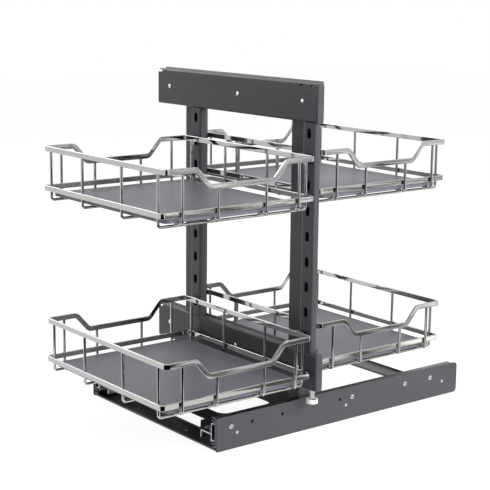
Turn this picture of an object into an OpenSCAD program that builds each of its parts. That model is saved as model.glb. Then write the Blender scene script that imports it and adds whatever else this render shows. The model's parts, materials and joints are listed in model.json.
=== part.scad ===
// Blind corner organizer: a pull-out carriage with two rear baskets, and a front frame with two baskets
// that slides sideways. X runs to the right, Y to the back, Z up; the origin is the middle of the base
// on the cabinet floor. Millimetres.

/* [Base] */
// Length of the base, front to back
base_length = 460; // [380:1:600]
// Width over the two side panels
base_width = 312; // [270:1:360]
// Height of the side panels
base_height = 47; // [42:0.5:56]
// Thickness of the steel sheet
sheet = 1.5; // [1:0.1:2]
// Outer radius of a bend in the sheet
bend = 3; // [2.2:0.1:4]
// Rounding of the upper and lower rear corners of a side panel
panel_corner = 6; // [3:0.5:12]
// Rounding of the front corners of a side panel
panel_front_corner = 2; // [1:0.5:4]
// Depth of a cross rail, front to back
rail_depth = 37; // [30:1:50]
// Height of the lips of a cross rail over the floor
rail_lip = 4; // [3.5:0.1:8]
// Height of the bent-up end tabs of a cross rail
rail_tab_height = 44; // [36:1:47]
// Distance of an end tab from the edges of its rail
rail_tab_inset = 0.5; // [0:0.5:4]
// Distance between the floor screws across the base
floor_screw_spacing = 120; // [60:1:170]
// Diameter of the floor screw holes
floor_hole = 5; // [4:0.1:6.5]

/* [Slides] */
// Height of a slide
slide_height = 42; // [36:0.5:46]
// Thickness of a closed slide
slide_thick = 11.5; // [10.4:0.1:14]
// Wall of the outer and inner slide members
slide_wall = 1.2; // [0.9:0.1:1.5]
// Wall of the middle slide member
middle_wall = 1; // [0.7:0.1:1.3]
// Distance from the outer member's web to the middle member's web
middle_gap = 0.7; // [0.6:0.1:1]
// Distance from the middle member's web to the inner member's flanges
inner_gap = 1.3; // [1:0.1:1.6]
// Distance from the outer and middle flange edges to the front of the slide
edge_set_back = [2.1, 1.2]; // [1:0.1:3]
// Free height of a ball race
ball_gap = 3.2; // [2.6:0.1:3.8]
// Play of a ball on each side of its race
ball_play = 0.3; // [0.25:0.05:0.4]
// Number of balls in a row
ball_count = 6; // [3:1:9]
// Width of a ball retainer strip
retainer_width = 3.6; // [3:0.1:4]
// Place of the inner balls, as a share of the retainer strip's width
inner_ball_share = 0.75; // [0.7:0.05:0.8]
// Thickness of a ball retainer strip
retainer_thick = 0.8; // [0.6:0.1:1.2]
// Length of a retainer as a share of its slide
retainer_share = 0.42; // [0.3:0.01:0.5]
// Gap between the cross rails' lips and the pull slides
slide_gap = 0.5; // [0.3:0.1:3]
// Distance of the pull slides from the front of the base
pull_slide_inset = 1; // [0:0.5:10]
// Distance of the pull slides from the rear of the base
pull_slide_rear = 9; // [0:0.5:40]
// Distance of the side slides from the ends of the plates
side_slide_inset = 15.5; // [8:0.5:40]

/* [Panel fasteners] */
// First pan head, from the front of the base
pan_from_front = 24; // [8:1:30]
// Second pan head, behind the middle of the base
pan_from_middle = 13; // [-20:1:40]
// Last two pan heads, from the rear of the base
pan_from_rear = [111, 58]; // [45:1:150]
// Height of the pan heads over the middle of the slide
pan_rise = 6.5; // [3:0.5:10]
// First small rivet, from the front of the base
small_from_front = 34; // [31:1:34]
// Second small rivet, behind the middle of the base
small_from_middle = 1; // [-20:1:8]
// Last small rivet, from the rear of the base
small_from_rear = 32; // [6:1:34]
// Height of the small rivets below the middle of the slide
small_drop = 3.5; // [0:0.5:8]
// First two spare holes, from the front of the base
spare_from_front = [60, 113]; // [45:1:180]
// Last spare hole, in front of the middle of the base
spare_from_middle = 11; // [5:1:30]
// Diameter of a spare hole
spare_hole = 4.5; // [3:0.1:6]
// Radius of a pan head
pan_r = 3.8; // [3:0.1:4.5]
// Height of a pan head
pan_h = 2.2; // [1.5:0.1:3]
// Radius of the screw shanks
shank_r = 2; // [1.5:0.1:2.2]
// Radius of a small rivet head
small_r = 2.4; // [2:0.1:3]
// Height of a small rivet head
small_h = 1.2; // [0.8:0.1:1.6]
// Radius of a small rivet shank
small_shank_r = 1.2; // [1:0.1:1.5]
// Play of a shank in its hole
shank_play = 0.1; // [0.05:0.01:0.15]

/* [Carriage] */
// Distance of the carriage plate's underside below the middle of the pull slides
carriage_drop = 3.5; // [0:0.5:6]
// Thickness of the carriage plate
carriage_thick = 2.5; // [1.5:0.1:4]
// Gap between the carriage plate and the pull slides
carriage_gap = 2.5; // [1:0.1:6]
// Front edge of the arms of the carriage plate, from the front of the base
carriage_front = 2; // [0:0.5:6]
// Length of the carriage plate behind the posts' feet
carriage_margin = 2; // [1:0.5:40]
// Width of an arm of the carriage plate
arm_width = 47; // [40:1:70]
// Sideways and lengthways cut of the inner front corner of an arm
arm_cut = [24, 18]; // [2:1:24]
// Rear edge of the front notch, from the front of the base
notch_rear = 31; // [28:1:50]
// Corner radius of the front notch
notch_corner = 6; // [2:0.5:10]
// Width of the strip between the front notch and the window
strip_width = 27; // [15:1:40]
// Length of the carriage plate in front of the posts
window_margin = 10.5; // [2:0.5:30]
// Corner radius of the window
window_corner = 15; // [3:1:25]
// Width of a runner bracket
bracket_width = 25; // [23:0.5:35]
// Depth of a runner bracket
bracket_depth = 11; // [9:0.5:14]
// Distances of the carriage screws from the pull slides
screw_from_slide = [19.5, 8.5]; // [6:0.5:20]
// Distance of the first carriage screws from the front of the arms
screw_from_front = 7; // [5:0.5:30]
// Distance of the last carriage screws in front of the posts
screw_from_post = 5.5; // [5:0.5:40]
// Distance of the first and last bracket rivets from the ends of the plate
bracket_rivet_inset = 17; // [12:0.5:40]
// Distance of the bracket rivets below the carriage plate
bracket_rivet_drop = 6.2; // [5.5:0.1:7]

/* [Frames] */
// Front face of the front frame, from the front of the base
frame_front = 145; // [120:1:200]
// Underside of the lower plate and channel
lower_plate_z = 64; // [57:0.5:80]
// Underside of the upper plate and channel
upper_plate_z = 432.5; // [300:0.5:600]
// Height of a rear channel
channel_height = 54.5; // [49:0.5:70]
// Distance of a front plate's top below its rear channel's top
plate_drop = 2; // [0:0.5:4]
// Length of the upper plate
plate_length = 371; // [330:1:450]
// Reach of the upper plate's right end past the right side panel
plate_overhang = 23; // [18:0.5:40]
// Reach of the lower plate's right end past the upper plate's right end
lower_plate_reach = 8; // [0:0.5:12]
// Depth of the rear channels over their flanges
channel_depth = 4; // [3.5:0.5:20]
// Distance of the rear channels' right end from the upper plate's right end
channel_short = 7; // [0:0.5:15]
// Length and height of the cut in the upper left corner of a front plate
plate_relief = [10, 4.6]; // [1:0.1:14]
// Distance of the outer slide rivets from the ends of the slide
rivet_inset = 15; // [6:0.5:40]
// Middle slide rivet, to the right of the slide's middle
rivet_shift = 13.5; // [-40:0.5:40]
// Places of the two small slits in the upper plate, from its right end
slit_places = [34, 12]; // [8:0.5:60]
// Length and height of a slit
slit_size = [7, 2.2]; // [1.5:0.1:10]
// Distance of the slits below the plate's top
slit_drop = 3.6; // [3:0.1:6]
// Rounding of the rear corners of the plates' end returns
return_corner = 5; // [2:0.5:6]
// Distance of the right front post's middle from the upper plate's right end
front_post_inset = 16; // [14:0.5:40]
// Distance between a front post's middle and the end of its baskets
hook_inset = 19.5; // [17:0.5:40]
// Width of a front post
front_post_width = 24; // [18:0.5:28]
// Distances of the left and right rear posts from the ends of the carriage plate
rear_post_inset = [0, 4]; // [0:0.5:20]
// Width and depth of a rear post
rear_post_size = [24.5, 22.5]; // [18:0.5:26]
// Distance of the rear posts' top below the upper channel's top
rear_post_drop = 4; // [2:0.5:20]
// Length of a rear post's foot behind the post
foot_length = 28; // [16:0.5:40]
// Thickness of a rear post's foot
foot_thick = 3; // [2:0.1:5]
// Distance of the foot screws from the ends of the foot
foot_screw_inset = 7; // [3:0.1:7.5]
// Radius of a slide rivet's head
rivet_r = 3.4; // [2.6:0.1:4.5]
// Height of a slide rivet's head
rivet_h = 1.8; // [1:0.1:2.8]
// Distance of the rear frame rivets from the middle of a slide
rear_rivet_z = 10; // [5:0.5:14]

/* [Slots] */
// Distance between slots
slot_pitch = 35; // [25:0.5:50]
// Least distance of the last slot's middle over the lower plate
slot_margin = 15; // [10:0.5:30]
// Distance of the first slot below the upper plate
slot_drop = 14.6; // [12:0.1:16]
// Width of a slot
slot_width = 8.2; // [7:0.1:9]
// Height of a slot
slot_height = 14; // [12.5:0.1:14.5]

/* [Baskets] */
// Width of the base beyond the outer width of a basket's top rail
basket_margin = 16; // [-8:1:52]
// Outer depth of a basket's top rail
basket_depth = 241; // [215:1:300]
// Outer corner radius of the rails
basket_corner = 6; // [5:0.5:18]
// Height of a flat bar
bar_height = 7.5; // [6:0.1:9]
// Thickness of a flat bar
bar_thick = 3; // [2:0.1:4]
// Diameter of a basket wire
wire = 4; // [3:0.1:5]
// Play between crossing pieces of a basket
wire_play = 0.2; // [0.15:0.01:0.3]
// Depth of the dip in the side bars
dip = 23; // [5:0.5:30]
// Half length of the low part of a side bar
dip_half = 49; // [44:1:60]
// Length of a slope of a side bar
dip_slope = 27; // [24:1:40]
// Share of a slope's length in each of its two bends
dip_bend_share = 0.25; // [0.15:0.05:0.45]
// Distance from the top of a basket to the top of its lower rail
lower_rail_drop = 54; // [45:0.5:70]
// Bend radius of the wires
wire_bend = 4; // [3:0.5:6]
// Distance of the sideways wires below the lower rail
wire_drop = 8.1; // [5:0.1:10]
// Distance of the outer front-to-back wires from the ends of a basket
long_wire_inset = 17.7; // [15:0.1:40]
// Distance of the inner front-to-back wires from the middle
long_wire_inner = 47.9; // [20:0.1:80]
// Distance of the outer sideways wires from the front and back of a basket
cross_wire_inset = 26.9; // [16:0.1:40]
// Distance of the inner sideways wires from the middle
cross_wire_inner = 38.9; // [15:0.1:46]
// Thickness of the floor panel
floor_thick = 4.8; // [3.5:0.1:6]
// Depth of the grooves in the floor panel's underside, over the sideways wires
floor_groove = 1.8; // [0.5:0.1:2.5]
// Gap round the floor panel
floor_play = 4; // [0.6:0.1:8]
// Corner radius of the floor panel
floor_corner = 8; // [6:0.5:12]
// Height of a basket's top over the slot it hangs in
hook_rise = 8.1; // [7.5:0.1:10]
// Gap between a front basket's top rail and the front posts
hook_gap = 7.5; // [6:0.1:10]
// Gap between a rear basket's top rail and the rear posts
rear_hook_gap = 5; // [4.5:0.1:10]
// Sideways place of the front baskets from the middle of their posts
basket_shift = 4; // [0:0.5:6]
// Sideways place of the rear baskets from the middle of their posts
rear_shift = -0.5; // [-6:0.5:6]
// Width and thickness of a hook's pad
hook_pad = [16, 2.5]; // [1.5:0.5:24]
// Width and height of a hook's lug
hook_lug = [5, 10]; // [4:0.5:11]
// Distance of the lug from the top rail's face
lug_set_back = 1; // [0.8:0.1:1.2]
// Play of a lug over the slot's edge and behind the post's wall
lug_play = [0.2, 0.5]; // [0.1:0.1:1]
// Thickness and height of the lug's turned-down tip
hook_tip = [3.5, 16.6]; // [2:0.1:20]

/* [Guide roller] */
// Distance of the roller's bolt from the right end of the lower plate
roller_inset = 13.8; // [7:0.1:20]
// Distance of the roller's bolt behind the front face
roller_back = 6; // [5.8:0.1:6.2]
// Radius of the roller
roller_r = 8.3; // [7:0.1:9]
// Height of the roller
roller_height = 5.4; // [5:0.1:9]
// Underside of the roller
roller_z = 45.3; // [40:0.1:46]
// Radius of the roller's upper and lower recesses
recess_r = 6; // [5.6:0.1:6.4]
// Depth of the recesses
recess_depth = 1.7; // [1.2:0.1:2.2]
// Radius of the bolt in the roller
journal_r = 3; // [2.6:0.1:3.2]
// Radial play of the roller on its bolt
journal_play = 0.05; // [0.02:0.01:0.09]
// End play of the roller
end_play = 0.35; // [0.31:0.01:0.5]
// Radius of the bolt's shoulder
shoulder_r = 3.6; // [3.5:0.1:4.5]
// Radius of the bolt's head under the roller
roller_head_r = 5.2; // [4.6:0.1:5.4]
// Radius of the bolt's thread
thread_r = 2.5; // [2:0.1:2.5]
// Width across flats and height of the nut
nut_size = [8, 4]; // [3:0.5:8]
// Height of the nut's round bearing face
nut_lift = 0.5; // [0.4:0.1:1]

/* [Hidden] */
$fn = 48;
over = 1;
bend_steps = 5;
curve_steps = 8;
tilt_step = 0.1;
slope_steps = 12;
base_front = -base_length / 2;
panel_out = base_width / 2;
panel_in = panel_out - sheet;
tab_in = panel_in - sheet;
rail_middle = base_length / 2 - rail_depth / 2;
slide_mid_z = rail_lip + slide_gap + slide_height / 2;
pull_face = tab_in;
pull_inner_face = pull_face - slide_thick;
pull_start = base_front + pull_slide_inset;
pull_slide_length = base_length - pull_slide_inset - pull_slide_rear;
pan_places = [base_front + pan_from_front, pan_from_middle,
    -base_front - pan_from_rear[0], -base_front - pan_from_rear[1]];
small_places = [base_front + small_from_front, small_from_middle, -base_front - small_from_rear];
spare_places = [base_front + spare_from_front[0], base_front + spare_from_front[1], -spare_from_middle];
pan_z = slide_mid_z + pan_rise;
small_z = slide_mid_z - small_drop;
panel_to_slide = panel_out - pull_face + slide_wall;
outer_inside = slide_height / 2 - slide_wall;
middle_half = outer_inside - ball_gap;
inner_half = middle_half - middle_wall - ball_gap;
middle_start = slide_wall + middle_gap;
inner_start = middle_start + middle_wall + inner_gap;
ball_r = ball_gap / 2 - ball_play;
outer_ball_v = outer_inside - ball_gap / 2;
inner_ball_v = inner_half + ball_gap / 2;
outer_ball_u = middle_start + retainer_width;
inner_ball_u = inner_start + retainer_width * inner_ball_share;
front_face = base_front + frame_front;
rear_web = front_face + sheet + slide_thick;
rear_face = rear_web + sheet;
rear_post_back = rear_face + rear_post_size[1];
plate_right = panel_out + plate_overhang;
plate_left = plate_right - plate_length;
plate_middle = plate_right - plate_length / 2;
plate_depth = slide_thick;
plate_height = channel_height - plate_drop;
side_start = plate_left + side_slide_inset;
side_slide_length = plate_length - 2 * side_slide_inset;
rivet_places = [side_start + rivet_inset, plate_middle + rivet_shift,
    side_start + side_slide_length - rivet_inset];
lower_slide_z = lower_plate_z + channel_height / 2;
upper_slide_z = upper_plate_z + channel_height / 2;
frame_top = upper_plate_z + channel_height;
rear_post_top = frame_top - rear_post_drop;
carriage_z = slide_mid_z - carriage_drop;
plate_floor = carriage_z + carriage_thick;
carriage_half = pull_inner_face - carriage_gap;
arm_front = base_front + carriage_front;
carriage_rear = rear_post_back + foot_length + carriage_margin;
carriage_length = carriage_rear - arm_front;
carriage_screw_x = [pull_inner_face - screw_from_slide[0], pull_inner_face - screw_from_slide[1]];
first_screw = arm_front + screw_from_front;
last_screw = rear_face - screw_from_post;
carriage_screw_places = [first_screw, (first_screw + last_screw) / 2, last_screw];
bracket_rivet_places = [arm_front + bracket_rivet_inset, (arm_front + carriage_rear) / 2,
    carriage_rear - bracket_rivet_inset];
rear_post_half = rear_post_size[0] / 2;
rear_post_x = [rear_post_inset[0] + rear_post_half - carriage_half,
    carriage_half - rear_post_inset[1] - rear_post_half];
rear_post_middle = (rear_post_x[0] + rear_post_x[1]) / 2;
rear_post_spacing = rear_post_x[1] - rear_post_x[0];
foot_screw_places = [rear_post_back + foot_screw_inset, rear_post_back + foot_length - foot_screw_inset];
basket_half_x = (base_width - basket_margin) / 2;
basket_half_y = basket_depth / 2;
front_post_spacing = 2 * (basket_half_x - hook_inset);
front_post_middle = plate_right - front_post_inset - front_post_spacing / 2;
first_slot = upper_plate_z - slot_drop;
slot_room = first_slot - lower_plate_z - plate_height - slot_margin;
slot_count = floor(slot_room / slot_pitch) + 1;
upper_slot = 1;
lower_slot = slot_count - 1;
long_outer = basket_half_x - long_wire_inset;
long_wire_x = [-long_outer, -long_wire_inner, long_wire_inner, long_outer];
cross_outer = basket_half_y - cross_wire_inset;
cross_wire_y = [-cross_outer, -cross_wire_inner, cross_wire_inner, cross_outer];
leg_x = basket_half_x - bar_thick / 2;
leg_y = basket_half_y - bar_thick / 2;
low_half_x = leg_x - wire / 2 - wire_play;
low_half_y = leg_y + wire / 2 + wire_play + bar_thick;
low_bottom = -lower_rail_drop - bar_height;
cross_z = low_bottom - wire_drop;
long_z = cross_z - wire - wire_play;
groove_half = wire / 2 + wire_play;
floor_bottom = cross_z + groove_half - floor_groove;
floor_half_x = low_half_x - bar_thick - floor_play;
floor_half_y = leg_y - wire / 2 - floor_play;
front_basket_y = front_face - hook_gap - basket_half_y;
rear_basket_y = rear_post_back + rear_hook_gap + basket_half_y;
roller_x = plate_right + lower_plate_reach - roller_inset;
roller_y = front_face + roller_back;
roller_top = roller_z + roller_height;
nut_z = lower_plate_z + sheet + nut_lift;
chrome = [0.8, 0.8, 0.79];
zinc = [0.72, 0.73, 0.74];
dark = [0.28, 0.28, 0.3];
black = [0.06, 0.06, 0.07];
nylon = [0.94, 0.94, 0.92];
panel_grey = [0.55, 0.55, 0.58];

// Points on an arc
function arc_points(middle, radius, from, to, steps) =
    [for (i = [0 : steps], angle = from + (to - from) * i / steps) middle + radius * [cos(angle), sin(angle)]];

// Outline of a channel in sheet, open towards +x, its web at x = 0
function channel_points(depth, height, wall, radius) = concat(
    [[depth, -height / 2]],
    arc_points([radius, radius - height / 2], radius, 270, 180, bend_steps),
    arc_points([radius, height / 2 - radius], radius, 180, 90, bend_steps),
    [[depth, height / 2], [depth, height / 2 - wall]],
    arc_points([radius, height / 2 - radius], radius - wall, 90, 180, bend_steps),
    arc_points([radius, radius - height / 2], radius - wall, 180, 270, bend_steps),
    [[depth, wall - height / 2]]);

// Outline of a rectangle with four corner radii: lower left, lower right, upper right, upper left
function rounded_points(low, high, radii) = concat(
    arc_points([low[0] + radii[0], low[1] + radii[0]], radii[0], 180, 270, bend_steps),
    arc_points([high[0] - radii[1], low[1] + radii[1]], radii[1], 270, 360, bend_steps),
    arc_points([high[0] - radii[2], high[1] - radii[2]], radii[2], 0, 90, bend_steps),
    arc_points([low[0] + radii[3], high[1] - radii[3]], radii[3], 90, 180, bend_steps));

// Height of a slot's middle
function slot_z(index) = first_slot - slot_pitch * index;

// Rectangular block between two corners
module block(low, high) {
    translate(low)
        cube(high - low);
}

// Puts a profile drawn in y and z along x
module along_x(start, length) {
    translate([start, 0, 0])
        rotate([90, 0, 90])
            linear_extrude(height = length)
                children();
}

// Shank with a low domed head, the head upwards from z = 0
module fastener(head_r, head_h, stem_r, stem_length) {
    rotate_extrude()
        polygon(concat(
            [[0, -stem_length], [stem_r, -stem_length], [stem_r, 0], [head_r, 0]],
            [for (i = [1 : curve_steps - 1], angle = 90 * i / curve_steps)
                [head_r * cos(angle), head_h * sin(angle)]],
            [[0, head_h]]));
}

// Turns a fastener's head to the front
module facing_front(place) {
    translate(place)
        rotate([90, 0, 0])
            children();
}

// Turns a fastener's head to the left or to the right
module facing_side(place, side) {
    translate(place)
        rotate([0, side * 90, 0])
            children();
}

// Base: panels, rails and their fasteners
module panel_cuts(side) {
    for (y = pan_places)
        facing_side([side * panel_out, y, pan_z], side)
            cylinder(r = shank_r + shank_play, h = 2 * panel_to_slide + shank_play, center = true);
    for (y = small_places)
        facing_side([side * panel_out, y, small_z], side)
            cylinder(r = small_shank_r + shank_play, h = 2 * panel_to_slide + shank_play, center = true);
}

module base_panel(side) {
    color(dark)
        difference() {
            along_x(side > 0 ? panel_in : -panel_out, sheet)
                polygon(rounded_points([base_front, 0], [-base_front, base_height],
                    [panel_front_corner, panel_corner, panel_corner, panel_front_corner]));
            panel_cuts(side);
            for (y = spare_places)
                facing_side([side * panel_out, y, pan_z], side)
                    cylinder(d = spare_hole, h = 4 * sheet, center = true);
        }
}

module base_rail(middle) {
    color(black)
        difference() {
            union() {
                translate([0, middle, 0])
                    along_x(-pull_face, 2 * pull_face)
                        rotate(90)
                            polygon(channel_points(rail_lip, rail_depth, sheet, bend));
                for (side = [-1, 1]) {
                    tab_half = rail_depth / 2 - rail_tab_inset;
                    block([side > 0 ? tab_in : -panel_in, middle - tab_half, 0],
                        [side > 0 ? panel_in : -tab_in, middle + tab_half, rail_tab_height]);
                }
            }
            for (x = [-1, 1] * floor_screw_spacing / 2)
                translate([x, middle, 0])
                    cylinder(d = floor_hole, h = 4 * sheet, center = true);
            panel_cuts(-1);
            panel_cuts(1);
        }
}

module base_rail_screws() {
    color(zinc)
        for (side = [-1, 1], y = pan_places)
            facing_side([side * panel_out, y, pan_z], side)
                fastener(pan_r, pan_h, shank_r, panel_to_slide);
}

module base_slide_rivets() {
    color(zinc)
        for (side = [-1, 1], y = small_places)
            facing_side([side * panel_out, y, small_z], side)
                fastener(small_r, small_h, small_shank_r, panel_to_slide);
}

// Slide members, drawn with the fixed face at x = 0 and the length along y
module member(length, start, depth, half, wall, web_first) {
    translate([start, 0, 0])
        rotate([-90, 0, 0])
            linear_extrude(height = length)
                difference() {
                    translate([0, -half])
                        square([depth, 2 * half]);
                    translate([web_first ? wall : -over, wall - half])
                        square([depth - wall + over, 2 * (half - wall)]);
                }
}

module slide_outer(length) {
    member(length, 0, slide_thick - edge_set_back[0], slide_height / 2, slide_wall, true);
}

module slide_middle(length) {
    depth = slide_thick - edge_set_back[1] - middle_start;
    member(length, middle_start, depth, middle_half, middle_wall, true);
}

module slide_inner(length) {
    member(length, inner_start, slide_thick - inner_start, inner_half, slide_wall, false);
}

module slide_balls(length, u, v) {
    strip = length * retainer_share;
    step = strip / ball_count;
    for (side = [-1, 1])
        translate([u, length / 2, side * v]) {
            cube([retainer_width, strip, retainer_thick], center = true);
            for (i = [0 : ball_count - 1])
                translate([0, (i + 0.5) * step - strip / 2, 0])
                    sphere(r = ball_r);
        }
}

module at_pull(side) {
    translate([side * pull_face, pull_start, slide_mid_z])
        if (side > 0)
            mirror([1, 0, 0])
                children();
        else
            children();
}

module at_side(z) {
    translate([side_start, rear_web, z])
        rotate([0, 0, -90])
            children();
}

module pull_slide_outer(side) {
    color(zinc)
        difference() {
            at_pull(side)
                slide_outer(pull_slide_length);
            panel_cuts(side);
        }
}

module pull_slide_middle(side) {
    color(zinc)
        at_pull(side)
            slide_middle(pull_slide_length);
}

module pull_slide_inner(side) {
    color(zinc)
        difference() {
            at_pull(side)
                slide_inner(pull_slide_length);
            bracket_cuts(side, 2 * slide_wall);
        }
}

module pull_slide_outer_balls() {
    color(zinc)
        for (side = [-1, 1])
            at_pull(side)
                slide_balls(pull_slide_length, outer_ball_u, outer_ball_v);
}

module pull_slide_inner_balls() {
    color(zinc)
        for (side = [-1, 1])
            at_pull(side)
                slide_balls(pull_slide_length, inner_ball_u, inner_ball_v);
}

// Carriage: brackets, plate and screws
module bracket_cuts(side, reach) {
    for (y = bracket_rivet_places)
        facing_side([side * pull_inner_face, y, carriage_z - bracket_rivet_drop], side)
            cylinder(r = small_shank_r + shank_play, h = 2 * reach, center = true);
}

module carriage_cuts() {
    for (side = [-1, 1], x = carriage_screw_x, y = carriage_screw_places)
        translate([side * x, y, carriage_z])
            cylinder(r = shank_r + shank_play, h = 4 * carriage_thick, center = true);
}

module foot_cuts() {
    for (x = rear_post_x, y = foot_screw_places)
        translate([x, y, plate_floor])
            cylinder(r = small_shank_r + shank_play, h = 4 * foot_thick, center = true);
}

module runner_bracket(side) {
    color(zinc)
        difference() {
            translate([side * (pull_inner_face - bracket_width / 2), arm_front, carriage_z])
                rotate([-90, 0, 0])
                    linear_extrude(height = carriage_length)
                        rotate(90)
                            polygon(channel_points(bracket_depth, bracket_width, sheet, bend));
            bracket_cuts(side, 2 * sheet);
            carriage_cuts();
        }
}

module carriage_plate() {
    inner = carriage_half - arm_width;
    notch = base_front + notch_rear;
    bend_y = notch - notch_corner;
    color(black)
        difference() {
            translate([0, 0, carriage_z])
                linear_extrude(height = carriage_thick)
                    difference() {
                        polygon(concat(
                            [[-carriage_half, arm_front], [-inner - arm_cut[0], arm_front]],
                            [[-inner, arm_front + arm_cut[1]]],
                            arc_points([notch_corner - inner, bend_y], notch_corner, 180, 90, bend_steps),
                            arc_points([inner - notch_corner, bend_y], notch_corner, 90, 0, bend_steps),
                            [[inner, arm_front + arm_cut[1]]],
                            [[inner + arm_cut[0], arm_front], [carriage_half, arm_front]],
                            [[carriage_half, carriage_rear], [-carriage_half, carriage_rear]]));
                        polygon(rounded_points(
                            [-inner, notch + strip_width], [inner, rear_face - window_margin],
                            [window_corner, window_corner, window_corner, window_corner]));
                    }
            carriage_cuts();
            foot_cuts();
        }
}

module carriage_screws() {
    color(zinc) {
        for (side = [-1, 1], x = carriage_screw_x, y = carriage_screw_places)
            translate([side * x, y, plate_floor])
                fastener(pan_r, pan_h, shank_r, carriage_thick + sheet);
        for (side = [-1, 1], y = bracket_rivet_places)
            facing_side([side * (pull_inner_face - sheet), y, carriage_z - bracket_rivet_drop], -side)
                fastener(small_r, small_h, small_shank_r, sheet + slide_wall);
        for (x = rear_post_x, y = foot_screw_places)
            translate([x, y, plate_floor + foot_thick])
                fastener(small_r, small_h, small_shank_r, foot_thick + carriage_thick);
    }
}

// Rear frame: posts, channels and rivets
module slot_cuts(x, y) {
    for (i = [0 : slot_count - 1]) {
        straight = slot_height - slot_width;
        translate([x, y, slot_z(i)]) {
            cube([slot_width, 4 * sheet, straight], center = true);
            for (end = [-1, 1])
                translate([0, 0, end * straight / 2])
                    rotate([90, 0, 0])
                        cylinder(d = slot_width, h = 4 * sheet, center = true);
        }
    }
}

module rear_rivet_cuts() {
    for (x = rear_post_x, z = [lower_slide_z, upper_slide_z], side = [-1, 1])
        facing_front([x, rear_face, z + side * rear_rivet_z])
            cylinder(r = shank_r + shank_play, h = 4 * (sheet + slide_wall), center = true);
}

module rear_post(x) {
    half = rear_post_half;
    color(dark)
        difference() {
            union() {
                block([x - half, rear_face, plate_floor], [x + half, rear_post_back, rear_post_top]);
                block([x - half, rear_post_back - sheet, plate_floor],
                    [x + half, rear_post_back + foot_length, plate_floor + foot_thick]);
            }
            block([x - half + sheet, rear_face + sheet, plate_floor + foot_thick],
                [x + half - sheet, rear_post_back - sheet, rear_post_top + over]);
            slot_cuts(x, rear_post_back);
            rear_rivet_cuts();
            foot_cuts();
        }
}

module rear_channel(z) {
    color(dark)
        difference() {
            translate([0, rear_web, z + channel_height / 2])
                along_x(plate_left, plate_length - channel_short)
                    polygon(channel_points(channel_depth, channel_height, sheet, bend));
            for (x = rear_post_x)
                block([x - rear_post_half - shank_play, rear_face, plate_floor],
                    [x + rear_post_half + shank_play, rear_post_back, rear_post_top + shank_play]);
            rear_rivet_cuts();
        }
}

module rear_frame_rivets() {
    color(zinc)
        for (x = rear_post_x, z = [lower_slide_z, upper_slide_z], side = [-1, 1])
            translate([x, rear_face + sheet, z + side * rear_rivet_z])
                rotate([-90, 0, 0])
                    fastener(rivet_r, rivet_h, shank_r, 2 * sheet + slide_wall);
}

module side_slide_outer(z) {
    color(zinc)
        difference() {
            at_side(z)
                slide_outer(side_slide_length);
            rear_rivet_cuts();
        }
}

module side_slide_middle(z) {
    color(zinc)
        at_side(z)
            slide_middle(side_slide_length);
}

module side_slide_inner(z) {
    color(zinc)
        difference() {
            at_side(z)
                slide_inner(side_slide_length);
            slide_rivet_cuts(z);
        }
}

module side_slide_outer_balls() {
    color(zinc)
        for (z = [lower_slide_z, upper_slide_z])
            at_side(z)
                slide_balls(side_slide_length, outer_ball_u, outer_ball_v);
}

module side_slide_inner_balls() {
    color(zinc)
        for (z = [lower_slide_z, upper_slide_z])
            at_side(z)
                slide_balls(side_slide_length, inner_ball_u, inner_ball_v);
}

// Front frame: plates, posts, rivets and guide roller
module slide_rivet_cuts(z) {
    for (x = rivet_places)
        facing_front([x, front_face, z])
            cylinder(r = shank_r + shank_play, h = 2 * (sheet + 2 * slide_wall), center = true);
}

module front_plate(z, reach) {
    top = z + plate_height;
    right = plate_right + reach;
    color(dark)
        difference() {
            union() {
                translate([0, front_face, z + plate_height / 2])
                    along_x(plate_left, plate_length + reach)
                        polygon(channel_points(plate_depth, plate_height, sheet, bend));
                along_x(right - sheet, sheet)
                    polygon(rounded_points([front_face, z], [front_face + plate_depth, top],
                        [bend, return_corner, return_corner, bend]));
            }
            difference() {
                block([right - bend, front_face - over, z - over],
                    [right + over, front_face + bend, top + over]);
                translate([right - bend, front_face + bend, z - 2 * over])
                    cylinder(r = bend, h = plate_height + 4 * over);
            }
            block([plate_left - over, front_face - over, top - plate_relief[1]],
                [plate_left + plate_relief[0], front_face + bend, top + over]);
            slide_rivet_cuts(z + channel_height / 2);
            children();
        }
}

module front_top_plate() {
    front_plate(upper_plate_z, 0)
        for (x = slit_places)
            translate([plate_right - x, front_face, upper_plate_z + plate_height - slit_drop])
                cube([slit_size[0], 4 * sheet, slit_size[1]], center = true);
}

module front_bottom_plate() {
    front_plate(lower_plate_z, lower_plate_reach)
        translate([roller_x, roller_y, lower_plate_z])
            cylinder(r = thread_r + shank_play, h = 4 * sheet, center = true);
}

module front_post(x) {
    low = lower_plate_z + plate_height;
    half = front_post_width / 2;
    inside = bend - sheet;
    color(dark)
        difference() {
            translate([x, front_face, low])
                linear_extrude(height = upper_plate_z - low)
                    difference() {
                        polygon(rounded_points([-half, 0], [half, plate_depth], [bend, bend, bend, bend]));
                        polygon(rounded_points([sheet - half, sheet], [half - sheet, plate_depth - sheet],
                            [inside, inside, inside, inside]));
                    }
            slot_cuts(x, front_face);
        }
}

module front_frame_rivets() {
    color(zinc)
        for (x = rivet_places, z = [lower_slide_z, upper_slide_z])
            facing_front([x, front_face, z])
                fastener(rivet_r, rivet_h, shank_r, sheet + slide_wall);
}

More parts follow.
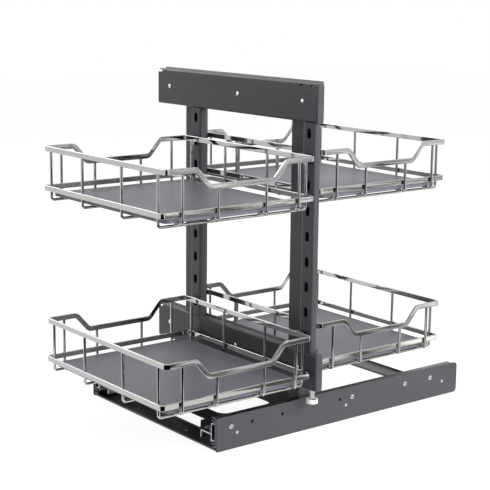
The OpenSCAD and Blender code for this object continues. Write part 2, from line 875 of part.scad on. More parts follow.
module guide_roller_bolt() {
    journal_low = roller_z + recess_depth - end_play;
    journal_high = roller_top - recess_depth + end_play;
    color(zinc)
        translate([roller_x, roller_y, 0]) {
            translate([0, 0, roller_z])
                cylinder(r = roller_head_r, h = journal_low - roller_z);
            translate([0, 0, roller_z])
                cylinder(r = journal_r, h = journal_high - roller_z);
            translate([0, 0, journal_high])
                cylinder(r = shoulder_r, h = lower_plate_z - journal_high);
            translate([0, 0, journal_high])
                cylinder(r = thread_r, h = nut_z + nut_size[1] + over - journal_high);
            translate([0, 0, lower_plate_z + sheet])
                cylinder(r = roller_back - bend, h = nut_lift);
            translate([0, 0, nut_z])
                cylinder(d = nut_size[0] / cos(30), h = nut_size[1], $fn = 6);
        }
}

module guide_roller() {
    color(nylon)
        translate([roller_x, roller_y, roller_z])
            difference() {
                cylinder(r = roller_r, h = roller_height);
                translate([0, 0, -over])
                    cylinder(r = journal_r + journal_play, h = roller_height + 2 * over);
                translate([0, 0, -over])
                    cylinder(r = recess_r, h = recess_depth + over);
                translate([0, 0, roller_height - recess_depth])
                    cylinder(r = recess_r, h = recess_depth + over);
            }
}

// Baskets, drawn with the top at z = 0
module ring_corners(half_x, half_y, top) {
    for (turn = [0 : 3]) {
        sign_x = turn == 0 || turn == 3 ? 1 : -1;
        sign_y = turn < 2 ? 1 : -1;
        translate([sign_x * (half_x - basket_corner), sign_y * (half_y - basket_corner), top - bar_height])
            rotate([0, 0, 90 * turn])
                rotate_extrude(angle = 90)
                    translate([basket_corner - bar_thick, 0])
                        square([bar_thick, bar_height]);
    }
}

module ring_cross_bars(half_x, half_y, top) {
    for (low = [-half_y, half_y - bar_thick])
        block([basket_corner - half_x, low, top - bar_height],
            [half_x - basket_corner, low + bar_thick, top]);
}

// Drop of a side bar's middle line at a distance from the basket's middle
function ease(t) = t < dip_bend_share ? t * t / (2 * dip_bend_share * (1 - dip_bend_share))
    : t > 1 - dip_bend_share ? 1 - ease(1 - t)
    : (t - dip_bend_share / 2) / (1 - dip_bend_share);
function bar_drop(y) = abs(y) <= dip_half ? dip
    : abs(y) >= dip_half + dip_slope ? 0
    : dip * ease((dip_half + dip_slope - abs(y)) / dip_slope);
function bar_tilt(y) = (bar_drop(y + tilt_step) - bar_drop(y - tilt_step)) / (2 * tilt_step);
function bar_edge(y, side) = [y, -bar_height / 2 - bar_drop(y)]
    + side * bar_height / 2 * [bar_tilt(y), 1] / sqrt(1 + bar_tilt(y) * bar_tilt(y));
slope_places = [for (i = [0 : slope_steps]) dip_half + dip_slope * i / slope_steps];
bar_end = basket_half_y - basket_corner;
bar_places = concat(
    [-bar_end],
    [for (i = [slope_steps : -1 : 0]) -slope_places[i]],
    slope_places,
    [bar_end]);
bar_last = len(bar_places) - 1;

module top_rail() {
    color(chrome) {
        ring_corners(basket_half_x, basket_half_y, 0);
        ring_cross_bars(basket_half_x, basket_half_y, 0);
        for (start = [-basket_half_x, basket_half_x - bar_thick])
            along_x(start, bar_thick)
                polygon(concat(
                    [for (i = [0 : bar_last]) bar_edge(bar_places[i], 1)],
                    [for (i = [bar_last : -1 : 0]) bar_edge(bar_places[i], -1)]));
    }
}

module bottom_rail() {
    color(chrome) {
        ring_corners(low_half_x, low_half_y, -lower_rail_drop);
        ring_cross_bars(low_half_x, low_half_y, -lower_rail_drop);
        for (low = [-low_half_x, low_half_x - bar_thick])
            block([low, basket_corner - low_half_y, low_bottom],
                [low + bar_thick, low_half_y - basket_corner, -lower_rail_drop]);
    }
}

// One bent wire in the x-z plane: two legs and a run below them
module bent_wire(half, top, bottom) {
    rotate([0, 90, 0])
        cylinder(d = wire, h = 2 * (half - wire_bend), center = true);
    for (side = [-1, 1]) {
        translate([side * half, 0, wire_bend])
            cylinder(d = wire, h = top - bottom - wire_bend);
        translate([side * (half - wire_bend), 0, wire_bend])
            rotate([90, 0, side > 0 ? 0 : 180])
                rotate([0, 0, -90])
                    rotate_extrude(angle = 90)
                        translate([wire_bend, 0])
                            circle(d = wire);
    }
}

module wires() {
    color(chrome) {
        for (x = long_wire_x)
            translate([x, 0, long_z])
                rotate([0, 0, 90])
                    bent_wire(leg_y, -bar_height, long_z);
        for (y = cross_wire_y)
            translate([0, y, cross_z])
                bent_wire(leg_x, -bar_height - bar_drop(y), cross_z);
    }
}

module floor_panel() {
    color(panel_grey)
        difference() {
            translate([0, 0, floor_bottom])
                linear_extrude(height = floor_thick)
                    polygon(rounded_points([-floor_half_x, -floor_half_y], [floor_half_x, floor_half_y],
                        [floor_corner, floor_corner, floor_corner, floor_corner]));
            for (y = cross_wire_y)
                block([-floor_half_x - over, y - groove_half, floor_bottom - over],
                    [floor_half_x + over, y + groove_half, floor_bottom + floor_groove]);
        }
}

module hook(x, inward, gap) {
    lug_half = hook_lug[0] / 2;
    slot_r = slot_width / 2;
    seat = slot_height / 2 - slot_r + sqrt(slot_r * slot_r - lug_half * lug_half);
    lug_low = -hook_rise - seat + lug_play[0];
    lug_high = lug_low + hook_lug[1];
    post_face = basket_half_y + gap;
    tip_start = post_face + sheet + lug_play[1];
    tip_end = tip_start + hook_tip[0];
    left = inward > 0 ? x - lug_half : x + lug_half - hook_pad[0];
    block([left, basket_half_y, -bar_height], [left + hook_pad[0], basket_half_y + hook_pad[1], 0]);
    block([x - lug_half, basket_half_y + lug_set_back, lug_low], [x + lug_half, tip_end, lug_high]);
    block([x - lug_half, tip_start, lug_high - hook_tip[1]], [x + lug_half, tip_end, lug_high]);
    block([x - lug_half, low_half_y, low_bottom], [x + lug_half, post_face, -lower_rail_drop]);
}

module hooks(spacing, back) {
    color(chrome)
        for (end = [-1, 1])
            if (back)
                hook(end * spacing / 2 - basket_shift, -end, hook_gap);
            else
                mirror([0, 1, 0])
                    hook(end * spacing / 2 - rear_shift, -end, rear_hook_gap);
}

module at_front(slot) {
    translate([front_post_middle + basket_shift, front_basket_y, slot_z(slot) + hook_rise])
        children();
}

module at_rear(slot) {
    translate([rear_post_middle + rear_shift, rear_basket_y, slot_z(slot) + hook_rise])
        children();
}

base_panel(-1);  // base_panel_left
base_panel(1);  // base_panel_right
base_rail(-rail_middle);  // base_front_rail
base_rail(rail_middle);  // base_rear_rail
base_rail_screws();
base_slide_rivets();
pull_slide_outer(-1);  // pull_slide_outer_left
pull_slide_outer(1);  // pull_slide_outer_right
pull_slide_outer_balls();
pull_slide_middle(-1);  // pull_slide_middle_left
pull_slide_middle(1);  // pull_slide_middle_right
pull_slide_inner_balls();
pull_slide_inner(-1);  // pull_slide_inner_left
pull_slide_inner(1);  // pull_slide_inner_right
runner_bracket(-1);  // runner_bracket_left
runner_bracket(1);  // runner_bracket_right
carriage_plate();
carriage_screws();
rear_post(rear_post_x[0]);  // rear_post_left
rear_post(rear_post_x[1]);  // rear_post_right
rear_channel(upper_plate_z);  // rear_top_channel
rear_channel(lower_plate_z);  // rear_bottom_channel
rear_frame_rivets();
side_slide_outer(upper_slide_z);  // side_slide_outer_top
side_slide_outer(lower_slide_z);  // side_slide_outer_bottom
side_slide_outer_balls();
side_slide_middle(upper_slide_z);  // side_slide_middle_top
side_slide_middle(lower_slide_z);  // side_slide_middle_bottom
side_slide_inner_balls();
side_slide_inner(upper_slide_z);  // side_slide_inner_top
side_slide_inner(lower_slide_z);  // side_slide_inner_bottom
front_top_plate();
front_bottom_plate();
front_post(front_post_middle - front_post_spacing / 2);  // front_post_left
front_post(front_post_middle + front_post_spacing / 2);  // front_post_right
front_frame_rivets();
guide_roller_bolt();
guide_roller();
at_front(upper_slot) top_rail();  // upper_front_top_rail
at_front(upper_slot) bottom_rail();  // upper_front_bottom_rail
at_front(upper_slot) wires();  // upper_front_wires
at_front(upper_slot) floor_panel();  // upper_front_floor
at_front(upper_slot) hooks(front_post_spacing, true);  // upper_front_hooks
at_front(lower_slot) top_rail();  // lower_front_top_rail
at_front(lower_slot) bottom_rail();  // lower_front_bottom_rail
at_front(lower_slot) wires();  // lower_front_wires
at_front(lower_slot) floor_panel();  // lower_front_floor
at_front(lower_slot) hooks(front_post_spacing, true);  // lower_front_hooks
at_rear(upper_slot) top_rail();  // upper_rear_top_rail
at_rear(upper_slot) bottom_rail();  // upper_rear_bottom_rail
at_rear(upper_slot) wires();  // upper_rear_wires
at_rear(upper_slot) floor_panel();  // upper_rear_floor
at_rear(upper_slot) hooks(rear_post_spacing, false);  // upper_rear_hooks
at_rear(lower_slot) top_rail();  // lower_rear_top_rail
at_rear(lower_slot) bottom_rail();  // lower_rear_bottom_rail
at_rear(lower_slot) wires();  // lower_rear_wires
at_rear(lower_slot) floor_panel();  // lower_rear_floor
at_rear(lower_slot) hooks(rear_post_spacing, false);  // lower_rear_hooks
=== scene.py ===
"""Looks of the blind corner organizer: chrome baskets, grey coated frames, zinc slides and a black carriage"""
import json
import math

import bmesh
import bpy
from mathutils import Matrix, Vector


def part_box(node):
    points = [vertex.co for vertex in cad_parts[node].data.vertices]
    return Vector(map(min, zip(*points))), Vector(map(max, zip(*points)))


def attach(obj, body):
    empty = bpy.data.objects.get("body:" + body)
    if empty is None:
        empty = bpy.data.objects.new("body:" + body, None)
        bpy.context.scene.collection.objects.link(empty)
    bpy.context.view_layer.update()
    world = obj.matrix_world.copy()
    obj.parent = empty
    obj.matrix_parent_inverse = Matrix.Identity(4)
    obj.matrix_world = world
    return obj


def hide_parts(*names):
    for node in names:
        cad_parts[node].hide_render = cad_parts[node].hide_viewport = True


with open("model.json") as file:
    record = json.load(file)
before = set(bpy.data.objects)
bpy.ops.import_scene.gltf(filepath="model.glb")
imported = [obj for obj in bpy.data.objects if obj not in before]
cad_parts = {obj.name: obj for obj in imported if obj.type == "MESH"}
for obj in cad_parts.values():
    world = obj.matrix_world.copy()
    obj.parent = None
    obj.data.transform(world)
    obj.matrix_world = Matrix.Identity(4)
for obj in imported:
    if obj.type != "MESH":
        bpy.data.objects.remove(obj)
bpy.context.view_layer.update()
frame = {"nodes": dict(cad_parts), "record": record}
nodes = frame["nodes"]
node_body = {}
for body_name, members in frame["record"]["behaviour"]["bodies"].items():
    for member in members:
        node_body[member] = body_name
node_slot = {}
for part in frame["record"]["subparts"]:
    node_slot[part["node"]] = part["material_slot"]

# Sizes in metres and angles in degrees

MM = 0.001
MERGE_DISTANCE = 0.001 * MM

# Flat bars of the basket rails and the dips in the top rails
BAR_THICK = 3 * MM
BAR_HEIGHT = 7.5 * MM
BAR_EDGE = 0.8 * MM
BAR_EDGE_STEPS = 4
BASKET_CORNER = 6 * MM
BASKET_CORNER_STEPS = 10
RAIL_STEP = 2 * MM
RAIL_SHARP_ANGLE = 50
DIP = 23 * MM
DIP_HALF = 49 * MM
DIP_SLOPE = 27 * MM
DIP_BEND_SHARE = 0.25

# Rolled sheet of the slide members
SLIDE_BEND = 2.6 * MM
SLIDE_BEND_STEPS = 6
SLIDE_WALL = 1.2 * MM
MIDDLE_SLIDE_WALL = 1.0 * MM
SLIDE_SHARP_ANGLE = 40

# Rounding of the long sharp edges
SHEET_EASE = 0.35 * MM
FLOOR_EASE = 0.8 * MM
SMALL_EASE = 0.2 * MM
SHORTEST_EASED_EDGE = 2.5 * MM
EASED_ANGLE = 40
EASE_SEGMENTS = 2
FLAT_ANGLE = 0.4
EASED_SHARP_ANGLE = 35

# Cross recesses of the pan heads, and the axis along which the screws of each node lie
SCREW_AXES = {"base_rail_screws": 0, "carriage_screws": 2}
NARROWEST_PAN_HEAD = 7.4 * MM
RECESS_REACH = 2.3 * MM
RECESS_HALF_WIDTH = 0.6 * MM
RECESS_DEPTH = 1.7 * MM
RECESS_TAPER = 0.6
RECESS_SHARP_ANGLE = 40
CUTTER_RISE = 0.5 * MM


def add_object(name, data):
    """Puts a new object in the scene"""
    added = bpy.data.objects.new(name, data)
    bpy.context.scene.collection.objects.link(added)
    return added


# Materials


class Surface:
    """A node material on the object's own coordinates, built up step by step"""

    def __init__(self, name, colour, rough, metal=0.0):
        self.material = bpy.data.materials.new(name)
        self.material.use_nodes = True
        self.tree = self.material.node_tree
        self.shader = self.tree.nodes["Principled BSDF"]
        self.shader.inputs["Base Color"].default_value = (*colour, 1.0)
        self.shader.inputs["Roughness"].default_value = rough
        self.shader.inputs["Metallic"].default_value = metal
        self.coordinates = self.tree.nodes.new("ShaderNodeTexCoord").outputs["Object"]
        self.colour = colour

    def noise(self, scale, detail=2.0, stretch=(1.0, 1.0, 1.0)):
        """Noise that a stretch below one draws out along an axis"""
        mapping = self.tree.nodes.new("ShaderNodeMapping")
        mapping.inputs["Scale"].default_value = stretch
        self.tree.links.new(self.coordinates, mapping.inputs["Vector"])
        texture = self.tree.nodes.new("ShaderNodeTexNoise")
        texture.inputs["Scale"].default_value = scale
        texture.inputs["Detail"].default_value = detail
        self.tree.links.new(mapping.outputs["Vector"], texture.inputs["Vector"])
        return texture.outputs["Fac"]

    def spread(self, value, low, high, bottom=0.0, top=1.0):
        """Stretches the values from low to high over the range from bottom to top"""
        node = self.tree.nodes.new("ShaderNodeMapRange")
        node.inputs["From Min"].default_value = low
        node.inputs["From Max"].default_value = high
        node.inputs["To Min"].default_value = bottom
        node.inputs["To Max"].default_value = top
        self.tree.links.new(value, node.inputs["Value"])
        return node.outputs["Result"]

    def shade(self, value, dark, light):
        """Varies the base colour between two shares of it"""
        mix = self.tree.nodes.new("ShaderNodeMix")
        mix.data_type = "RGBA"
        mix.inputs["A"].default_value = (*[c * dark for c in self.colour], 1.0)
        mix.inputs["B"].default_value = (*[min(1.0, c * light) for c in self.colour], 1.0)
        self.tree.links.new(value, mix.inputs["Factor"])
        self.tree.links.new(mix.outputs["Result"], self.shader.inputs["Base Color"])

    def roughen(self, value, smoothest, roughest):
        """Varies the roughness with the middle values of a noise"""
        varied = self.spread(value, low=0.3, high=0.7, bottom=smoothest, top=roughest)
        self.tree.links.new(varied, self.shader.inputs["Roughness"])

    def bump(self, value, strength, distance):
        node = self.tree.nodes.new("ShaderNodeBump")
        node.inputs["Strength"].default_value = strength
        node.inputs["Distance"].default_value = distance
        self.tree.links.new(value, node.inputs["Height"])
        self.tree.links.new(node.outputs["Normal"], self.shader.inputs["Normal"])


def powder_coat(name, colour, rough, sparkle, specular):
    """Coat with a fine grain that varies its colour by the share called sparkle"""
    surface = Surface(name, colour, rough)
    surface.shader.inputs["Specular IOR Level"].default_value = specular
    grain = surface.noise(scale=1800.0, detail=3.0)
    cloud = surface.noise(scale=14.0, detail=3.0)
    surface.shade(surface.spread(grain, low=0.35, high=0.7), dark=1.0 - sparkle, light=1.0 + sparkle)
    surface.roughen(cloud, smoothest=rough - 0.06, roughest=rough + 0.06)
    surface.bump(grain, strength=0.25, distance=0.12 * MM)
    return surface.material


def chrome_plate():
    """Mirror plate with slight waves and haze"""
    surface = Surface("chrome", (0.49, 0.49, 0.477), rough=0.06, metal=1.0)
    wave = surface.noise(scale=60.0)
    haze = surface.noise(scale=25.0, detail=3.0)
    surface.shade(haze, dark=0.95, light=1.05)
    surface.roughen(haze, smoothest=0.03, roughest=0.1)
    surface.bump(wave, strength=0.08, distance=0.4 * MM)
    return surface.material


def zinc_plate(name, colour, rough=0.34):
    """Plated steel with drawing marks along y and cloudy patches"""
    surface = Surface(name, colour, rough, metal=1.0)
    drawn = surface.noise(scale=420.0, stretch=(1.0, 0.02, 1.0))
    cloud = surface.noise(scale=35.0, detail=3.0)
    surface.shade(cloud, dark=0.86, light=1.08)
    surface.roughen(cloud, smoothest=rough - 0.08, roughest=rough + 0.08)
    surface.bump(drawn, strength=0.12, distance=0.1 * MM)
    return surface.material


def floor_laminate():
    """Satin grey board of the basket floors"""
    surface = Surface("floor_board", (0.115, 0.117, 0.136), rough=0.4)
    surface.shader.inputs["Specular IOR Level"].default_value = 0.4
    grain = surface.noise(scale=900.0)
    cloud = surface.noise(scale=9.0)
    surface.shade(surface.spread(grain, low=0.3, high=0.7), dark=0.94, light=1.06)
    surface.roughen(cloud, smoothest=0.35, roughest=0.45)
    surface.bump(grain, strength=0.12, distance=0.08 * MM)
    return surface.material


def nylon():
    """White plastic with rings from its turning"""
    surface = Surface("white_nylon", (0.85, 0.85, 0.83), rough=0.35)
    turned = surface.noise(scale=500.0, stretch=(0.05, 0.05, 1.0))
    surface.shade(turned, dark=0.95, light=1.02)
    surface.roughen(turned, smoothest=0.3, roughest=0.42)
    surface.bump(turned, strength=0.15, distance=0.08 * MM)
    surface.shader.inputs["Subsurface Weight"].default_value = 0.15
    surface.shader.inputs["Subsurface Scale"].default_value = 3 * MM
    return surface.material


looks = {
    "grey_coat": powder_coat("grey_coat", (0.052, 0.053, 0.058), rough=0.4, sparkle=0.12, specular=0.36),
    "black_coat": powder_coat("black_coat", (0.01, 0.01, 0.011), rough=0.5, sparkle=0.15, specular=0.2),
    "chrome_wire": chrome_plate(),
    "zinc": zinc_plate("zinc", (0.62, 0.63, 0.64)),
    "floor_board": floor_laminate(),
    "white_nylon": nylon(),
}
rail_coat = powder_coat("rail_coat", (0.012, 0.012, 0.013), rough=0.34, sparkle=0.15, specular=0.5)
# Darker copy of the zinc for the outer and middle pull slide members: painted shade, the shadow these members
# sit in is painted into their colour
shade_darkened_zinc = zinc_plate("shade_darkened_zinc", (0.2, 0.2, 0.205))
bright_zinc = zinc_plate("bright_zinc", (0.66, 0.665, 0.67), rough=0.14)
node_looks = {"base_front_rail": rail_coat, "base_rear_rail": rail_coat}
for name in nodes:
    if name.endswith(("_screws", "_rivets")):
        node_looks[name] = bright_zinc
    # The outer and middle pull slide members get the zinc with painted shade
    elif name.startswith(("pull_slide_outer_", "pull_slide_middle_")) and not name.endswith("_balls"):
        node_looks[name] = shade_darkened_zinc


# Shapes


def weigh(piece):
    """Keeps the shading of flat faces flat beside narrow rounded edges"""
    weighted = piece.modifiers.new("weighted", "WEIGHTED_NORMAL")
    weighted.keep_sharp = True


def show(name, mesh, replaced):
    """Adds a piece that stands for a CAD node and rides on its body"""
    mesh.materials.clear()
    mesh.materials.append(node_looks.get(replaced, looks[node_slot[replaced]]))
    piece = add_object(name, mesh)
    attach(piece, node_body[replaced])
    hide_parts(replaced)
    weigh(piece)
    return piece


def merged_shape(mesh):
    """Editable copy of a mesh with its doubled vertices merged"""
    shape = bmesh.new()
    shape.from_mesh(mesh)
    bmesh.ops.remove_doubles(shape, verts=shape.verts, dist=MERGE_DISTANCE)
    return shape


def store_smooth(shape, mesh, sharp_angle):
    """Writes an edited shape back to its mesh, shaded smooth up to an angle"""
    for face in shape.faces:
        face.smooth = True
    shape.to_mesh(mesh)
    shape.free()
    mesh.set_sharp_from_angle(angle=math.radians(sharp_angle))


def eased(node, width):
    """Copy of a CAD node with its long sharp edges rounded"""
    mesh = nodes[node].data.copy()
    mesh.name = node + "_eased"
    shape = merged_shape(mesh)
    flat = math.radians(FLAT_ANGLE)
    bmesh.ops.dissolve_limit(shape, angle_limit=flat, verts=shape.verts, edges=shape.edges)
    edges = [edge for edge in shape.edges if edge.is_manifold and edge.calc_length() > SHORTEST_EASED_EDGE
             and edge.calc_face_angle() > math.radians(EASED_ANGLE)]
    bmesh.ops.bevel(shape, geom=edges, offset=width, segments=EASE_SEGMENTS, profile=0.5, affect="EDGES",
                    clamp_overlap=True)
    store_smooth(shape, mesh, EASED_SHARP_ANGLE)
    return show(node + "_eased", mesh, node)


def finished(name, vertices, faces, sharp_angle):
    """Mesh with its faces turned outwards and shaded smooth up to an angle"""
    mesh = bpy.data.meshes.new(name)
    mesh.from_pydata(vertices, [], faces)
    shape = bmesh.new()
    shape.from_mesh(mesh)
    bmesh.ops.recalc_face_normals(shape, faces=shape.faces)
    store_smooth(shape, mesh, sharp_angle)
    return mesh


def tube_faces(first, second, size):
    """Faces between two rings of vertices that start at the given numbers"""
    return [(first + k, first + (k + 1) % size, second + (k + 1) % size, second + k) for k in range(size)]


def ring_face(first, size):
    """Face that closes a ring of vertices"""
    return tuple(range(first, first + size))


def rounded_rectangle(half_a, half_b, radius, steps):
    """Points round a rectangle with round corners"""
    points = []
    for quarter, (sign_a, sign_b) in enumerate(((1, 1), (-1, 1), (-1, -1), (1, -1))):
        for step in range(steps + 1):
            angle = math.radians(90 * quarter + 90 * step / steps)
            a = sign_a * (half_a - radius) + radius * math.cos(angle)
            b = sign_b * (half_b - radius) + radius * math.sin(angle)
            points.append((a, b))
    return points


def ring_path(middle, half_x, half_y, corner, height_at):
    """Closed path round a rectangle, its height given by the distance from the middle in y"""
    flat = rounded_rectangle(half_x, half_y, corner, BASKET_CORNER_STEPS)
    points = []
    for i, (x, y) in enumerate(flat):
        next_x, next_y = flat[(i + 1) % len(flat)]
        length = math.hypot(next_x - x, next_y - y)
        cuts = int(length / RAIL_STEP) if length > 4 * RAIL_STEP else 1
        for cut in range(cuts):
            share = cut / cuts
            point_x = x + (next_x - x) * share
            point_y = y + (next_y - y) * share
            points.append(Vector((middle.x + point_x, middle.y + point_y, height_at(abs(point_y)))))
    return points


def sweep(points, section):
    """Mesh of a section drawn round a closed path; the section's first axis points sideways, its second up"""
    count = len(points)
    size = len(section)
    vertices = []
    faces = []
    for i, point in enumerate(points):
        following = (i + 1) % count
        along = (points[following] - points[i - 1]).normalized()
        side = along.cross(Vector((0, 0, 1))).normalized()
        up = side.cross(along)
        vertices.extend(point + side * a + up * b for a, b in section)
        faces.extend(tube_faces(i * size, following * size, size))
    return finished("sweep", vertices, faces, RAIL_SHARP_ANGLE)


def soft_slope(share):
    """Straight slope from 0 to 1 with a soft bend at each end"""
    if share < DIP_BEND_SHARE:
        return share * share / (2 * DIP_BEND_SHARE * (1 - DIP_BEND_SHARE))
    if share > 1 - DIP_BEND_SHARE:
        return 1 - soft_slope(1 - share)
    return (share - DIP_BEND_SHARE / 2) / (1 - DIP_BEND_SHARE)


def dip_at(distance):
    """Depth of a top rail's dip at a distance from the middle of the basket"""
    return DIP * soft_slope(max(0.0, min(1.0, (DIP_HALF + DIP_SLOPE - distance) / DIP_SLOPE)))


def dressed_rail(node, has_dip):
    """Swept chrome rail in the place of a CAD one"""
    low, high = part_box(node)
    half_x = (high.x - low.x) / 2 - BAR_THICK / 2
    half_y = (high.y - low.y) / 2 - BAR_THICK / 2
    level = high.z - BAR_HEIGHT / 2
    path = ring_path((low + high) / 2, half_x, half_y, BASKET_CORNER - BAR_THICK / 2,
                     lambda distance: level - dip_at(distance) if has_dip else level)
    section = rounded_rectangle(BAR_THICK / 2, BAR_HEIGHT / 2, BAR_EDGE, BAR_EDGE_STEPS)
    show(node + "_swept", sweep(path, section), node)


def rolled_channel(depth, height, wall):
    """Outline of a rolled sheet channel, its web at u = 0 and its flanges towards +u"""
    top = height / 2
    outer = []
    inner = []
    for middle, start in ((SLIDE_BEND - top, 270), (top - SLIDE_BEND, 180)):
        for step in range(SLIDE_BEND_STEPS + 1):
            angle = math.radians(start - 90 * step / SLIDE_BEND_STEPS)
            for points, radius in ((outer, SLIDE_BEND), (inner, SLIDE_BEND - wall)):
                points.append((SLIDE_BEND + radius * math.cos(angle), middle + radius * math.sin(angle)))
    return [(depth, -top), *outer, (depth, top), (depth, top - wall), *reversed(inner), (depth, wall - top)]


def dressed_slide(node, web_at_low):
    """Rolled slide member in the place of a CAD one"""
    low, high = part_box(node)
    long_axis = 1 if node.startswith("pull") else 0
    deep_axis = 1 - long_axis
    wall = MIDDLE_SLIDE_WALL if "middle" in node else SLIDE_WALL
    outline = rolled_channel(high[deep_axis] - low[deep_axis], high.z - low.z, wall)
    vertices = []
    for end in (low[long_axis], high[long_axis]):
        for u, v in outline:
            point = Vector((0, 0, (low.z + high.z) / 2 + v))
            point[long_axis] = end
            point[deep_axis] = low[deep_axis] + u if web_at_low else high[deep_axis] - u
            vertices.append(point)
    size = len(outline)
    faces = [*tube_faces(0, size, size), ring_face(0, size), ring_face(size, size)]
    show(node + "_rolled", finished("rolled", vertices, faces, SLIDE_SHARP_ANGLE), node)


def solid_boxes(mesh):
    """Boxes of the separate solids in a mesh"""
    shape = merged_shape(mesh)
    left = set(shape.verts)
    boxes = []
    for start in shape.verts:
        if start not in left:
            continue
        left.discard(start)
        waiting = [start]
        found = [start]
        while waiting:
            vertex = waiting.pop()
            for edge in vertex.link_edges:
                other = edge.other_vert(vertex)
                if other in left:
                    left.discard(other)
                    waiting.append(other)
                    found.append(other)
        low = Vector([min(v.co[i] for v in found) for i in range(3)])
        high = Vector([max(v.co[i] for v in found) for i in range(3)])
        boxes.append((low, high))
    shape.free()
    return boxes


def cross_outline():
    """Outline of a cross recess at the top of a screw head"""
    outline = []
    for quarter in range(4):
        turn = Matrix.Rotation(math.radians(90 * quarter), 2)
        for point in ((RECESS_HALF_WIDTH, RECESS_HALF_WIDTH), (RECESS_REACH, RECESS_HALF_WIDTH),
                      (RECESS_REACH, -RECESS_HALF_WIDTH)):
            outline.append(turn @ Vector(point))
    outline.sort(key=lambda point: math.atan2(point.y, point.x))
    return outline


def cut_recesses(piece, node, axis):
    """Cuts a cross recess into each pan head of a node whose screws lie along an axis"""
    across = (axis + 1) % 3
    third = (axis + 2) % 3
    outline = cross_outline()
    count = len(outline)
    vertices = []
    faces = []
    for low, high in solid_boxes(nodes[node].data):
        if high[across] - low[across] < NARROWEST_PAN_HEAD:
            continue
        middle = (low + high) / 2
        outward = 1 if axis == 2 or middle[axis] > 0 else -1
        tip = high[axis] if outward > 0 else low[axis]
        first = len(vertices)
        for height, share in ((CUTTER_RISE, 1.0), (-RECESS_DEPTH, RECESS_TAPER)):
            for a, b in outline:
                point = middle.copy()
                point[across] += a * share
                point[third] += b * share
                point[axis] = tip + outward * height
                vertices.append(point)
        faces.extend(tube_faces(first, first + count, count))
        faces.append(ring_face(first, count))
        faces.append(ring_face(first + count, count))
    piece.modifiers.clear()
    cutter = add_object("recess_cutter", finished("recess", vertices, faces, RECESS_SHARP_ANGLE))
    cut = piece.modifiers.new("recess", "BOOLEAN")
    cut.object = cutter
    cut.solver = "EXACT"
    shaped = piece.evaluated_get(bpy.context.evaluated_depsgraph_get())
    mesh = bpy.data.meshes.new_from_object(shaped)
    mesh.name = node + "_cut"
    mesh.set_sharp_from_angle(angle=math.radians(EASED_SHARP_ANGLE))
    piece.modifiers.clear()
    piece.data = mesh
    weigh(piece)
    bpy.data.objects.remove(cutter)


for basket in ("upper_front", "lower_front", "upper_rear", "lower_rear"):
    dressed_rail(basket + "_top_rail", True)
    dressed_rail(basket + "_bottom_rail", False)
for member, starts_at_web in (("outer", True), ("middle", True), ("inner", False)):
    dressed_slide("pull_slide_%s_left" % member, starts_at_web)
    dressed_slide("pull_slide_%s_right" % member, not starts_at_web)
    dressed_slide("side_slide_%s_top" % member, not starts_at_web)
    dressed_slide("side_slide_%s_bottom" % member, not starts_at_web)

for name in nodes:
    slot_name = node_slot[name]
    if slot_name in ("grey_coat", "black_coat"):
        eased(name, SHEET_EASE)
    elif slot_name == "floor_board":
        eased(name, FLOOR_EASE)
    elif name.endswith(("_wires", "_hooks", "_screws", "_rivets", "_roller", "_bolt")) or "bracket" in name:
        piece = eased(name, SMALL_EASE)
        if name in SCREW_AXES:
            cut_recesses(piece, name, SCREW_AXES[name])
    elif name.endswith("_balls"):
        nodes[name].data.materials.clear()
        nodes[name].data.materials.append(looks[slot_name])


# Studio


def stage_plane(name, size, place, turn, material, camera=True):
    """Flat card or floor that isn't part of the object"""
    half_x = size[0] / 2
    half_y = size[1] / 2
    corners = [(-half_x, -half_y, 0), (half_x, -half_y, 0), (half_x, half_y, 0), (-half_x, half_y, 0)]
    mesh = bpy.data.meshes.new(name)
    mesh.from_pydata(corners, [], [(0, 1, 2, 3)])
    mesh.materials.append(material)
    plane = add_object(name, mesh)
    plane.location = place
    plane.rotation_euler = [math.radians(angle) for angle in turn]
    plane.visible_camera = camera
    return plane


def seen_directly(tree):
    """1 for rays from the camera, a mirror or glass, and 0 for light that only falls on the object"""
    path = tree.nodes.new("ShaderNodeLightPath")
    seen = path.outputs["Is Camera Ray"]
    for name in ("Is Glossy Ray", "Is Transmission Ray"):
        node = tree.nodes.new("ShaderNodeMath")
        node.operation = "MAXIMUM"
        tree.links.new(seen, node.inputs[0])
        tree.links.new(path.outputs[name], node.inputs[1])
        seen = node.outputs["Value"]
    return seen


def floor_material(strength, glow_share):
    """Pale floor that mostly glows where it is seen directly, and keeps a share of its shadow there"""
    material = bpy.data.materials.new("pale_floor")
    material.use_nodes = True
    tree = material.node_tree
    shader = tree.nodes["Principled BSDF"]
    shader.inputs["Base Color"].default_value = (0.86, 0.86, 0.86, 1)
    shader.inputs["Roughness"].default_value = 0.9
    shader.inputs["Specular IOR Level"].default_value = 0.0
    glow = tree.nodes.new("ShaderNodeEmission")
    glow.inputs["Strength"].default_value = strength
    both = tree.nodes.new("ShaderNodeMixShader")
    share = tree.nodes.new("ShaderNodeMath")
    share.operation = "MULTIPLY"
    share.inputs[1].default_value = glow_share
    tree.links.new(seen_directly(tree), share.inputs[0])
    tree.links.new(share.outputs["Value"], both.inputs["Fac"])
    tree.links.new(shader.outputs["BSDF"], both.inputs[1])
    tree.links.new(glow.outputs["Emission"], both.inputs[2])
    tree.links.new(both.outputs["Shader"], tree.nodes["Material Output"].inputs["Surface"])
    return material


def flag_material(dark, light):
    """Studio card with soft patches from dark to light that the chrome mirrors"""
    surface = Surface("studio_flag", (0.0, 0.0, 0.0), rough=1.0)
    tree = surface.tree
    patches = surface.spread(surface.noise(scale=5.0), low=0.47, high=0.62, bottom=dark, top=light)
    glow = tree.nodes.new("ShaderNodeEmission")
    tree.links.new(patches, glow.inputs["Strength"])
    tree.links.new(glow.outputs["Emission"], tree.nodes["Material Output"].inputs["Surface"])
    return surface.material


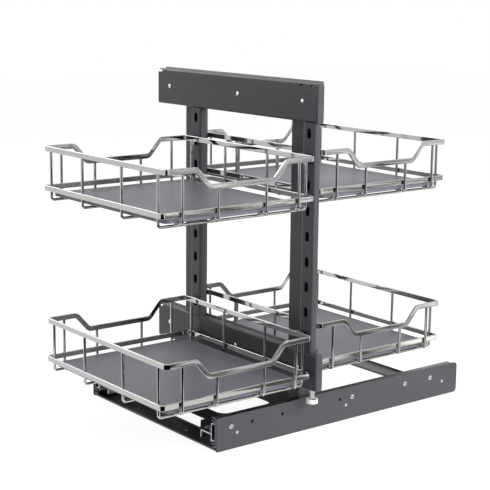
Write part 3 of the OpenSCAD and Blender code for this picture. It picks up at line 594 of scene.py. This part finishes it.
def world_light(strength):
    """White world that lights the object with the given strength and is plain white where it is seen"""
    world = bpy.data.worlds.new("studio")
    world.use_nodes = True
    tree = world.node_tree
    background = tree.nodes["Background"]
    background.inputs["Color"].default_value = (1, 1, 1, 1)
    level = tree.nodes.new("ShaderNodeMapRange")
    level.inputs["To Min"].default_value = strength
    level.inputs["To Max"].default_value = 1.0
    tree.links.new(seen_directly(tree), level.inputs["Value"])
    tree.links.new(level.outputs["Result"], background.inputs["Strength"])
    bpy.context.scene.world = world


def area_light(name, place, size, power, mirrored):
    """Lamp that points at the middle of the object"""
    aim = Vector((0, 0, 0.3))
    data = bpy.data.lights.new(name, "AREA")
    data.shape = "RECTANGLE"
    data.size = size[0]
    data.size_y = size[1]
    data.energy = power
    lamp = add_object(name, data)
    lamp.location = place
    lamp.rotation_euler = (aim - Vector(place)).to_track_quat("-Z", "Y").to_euler()
    lamp.visible_glossy = mirrored


def photo_camera():
    """Camera whose place, heading, tilt, roll and focal length are fitted to the photograph"""
    eye = Vector((1.4845, -1.2276, 0.6113))
    heading = math.radians(51.9)
    tilt = math.radians(11.2)
    roll = math.radians(0.6)
    focal_pixels = 1313.3
    frame_pixels = 490.0
    sensor = 36.0
    level_reach = math.cos(tilt)
    ahead = Vector((-math.sin(heading) * level_reach, math.cos(heading) * level_reach, -math.sin(tilt)))
    right = Vector((math.cos(heading), math.sin(heading), 0))
    up = right.cross(ahead)
    turned_right = right * math.cos(roll) + up * math.sin(roll)
    turned_up = up * math.cos(roll) - right * math.sin(roll)
    data = bpy.data.cameras.new("photo_camera")
    data.sensor_width = sensor
    data.lens = focal_pixels * sensor / frame_pixels
    data.clip_start = 0.05
    camera = add_object("photo_camera", data)
    turn = Matrix((turned_right, turned_up, -ahead)).transposed().to_4x4()
    camera.matrix_world = Matrix.Translation(eye) @ turn
    bpy.context.scene.camera = camera


stage_plane("floor", (12, 12), (0, 0, -0.0005), (0, 0, 0), floor_material(strength=1.1, glow_share=0.85))
# Size, place and turn of each card, and the brightness of its darkest and lightest patches
cards = (("dark_side", (3.4, 2.4), (1.72, -1.35, 0.002), (0, 0, -38.1), 0.0, 0.02),
         ("dark_wall", (2.6, 1.2), (2.7, -2.12, 0.6), (90, 0, 51.9), 0.0, 0.02),
         ("grey_side", (3.0, 1.5), (1.42, 1.11, 0.001), (0, 0, 38.0), 0.14, 2.0),
         ("dark_back", (2.4, 1.3), (1.5, 1.35, 1.15), (60, 0, -48.0), 0.02, 3.0))
for name, size, place, turn, dark, light in cards:
    flag = stage_plane(name, size, place, turn, flag_material(dark, light), camera=False)
    flag.visible_shadow = False
    flag.visible_diffuse = False
world_light(strength=0.42)
area_light("key", place=(1.9, 0.7, 1.05), size=(2.6, 1.3), power=86, mirrored=False)
area_light("top", place=(-1.6, -0.5, 1.55), size=(1.4, 1.4), power=19, mirrored=True)
photo_camera()
bpy.context.scene.view_settings.view_transform = "Standard"
